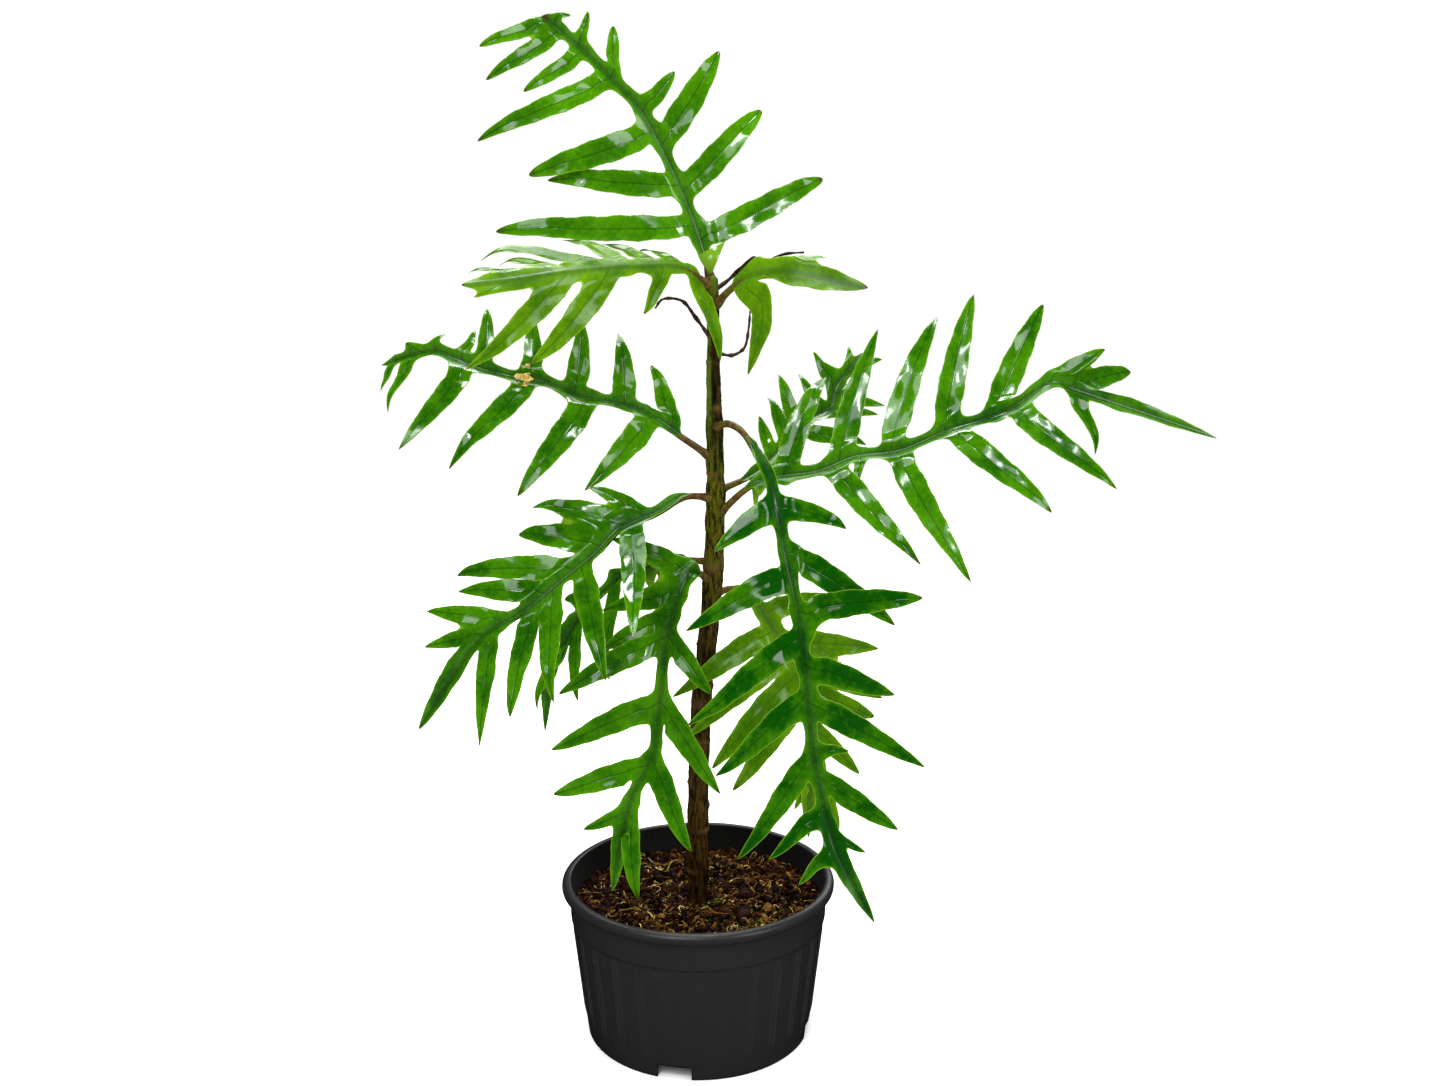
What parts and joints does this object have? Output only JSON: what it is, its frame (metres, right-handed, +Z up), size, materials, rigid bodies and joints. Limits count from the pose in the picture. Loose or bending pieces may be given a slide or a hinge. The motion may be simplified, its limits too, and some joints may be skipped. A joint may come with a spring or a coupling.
{
  "type": "potted shrub with lobed leaves",
  "caption": "Young woody potted plant with glossy, deeply lobed leaves on one upright stem, in a round black plastic nursery pot of dark soil.",
  "frame": {"origin": "middle of the pot's underside, at the centre of its foot pad, on the surface it stands on", "axes": "+Z up along the pot's axis, -Y towards the front, +X towards the big right-hand leaf"},
  "size_m": [0.58, 0.2217, 0.7246],
  "materials": {
    "pot_plastic": "satin black moulded plastic",
    "soil": "damp crumbs of bark and peat",
    "bark": "rough dark bark",
    "leaf": "waxy glossy living leaf",
    "young_leaf": "waxy glossy young leaf",
    "dry_stalk": "dry brown stalk",
    "dry_leaf": "dry amber leaf scrap"
  },
  "bodies": {
    "root": {"pot": "pot_plastic", "soil": "soil", "stem": "bark", "leaf_top": "leaf", "leaf_crown_left": "young_leaf", "leaf_crown_right": "young_leaf", "leaf_left": "leaf", "leaf_right_big": "leaf", "leaf_front": "leaf", "leaf_right_back": "leaf", "leaf_mid_left": "leaf", "leaf_low_left": "leaf", "leaf_behind_front": "young_leaf", "leaf_back_left": "leaf", "dry_stalk_left": "dry_stalk", "dry_stalk_right": "dry_stalk", "dry_shoot_tip": "dry_stalk", "dry_flake": "dry_leaf"}
  },
  "joints": []
}
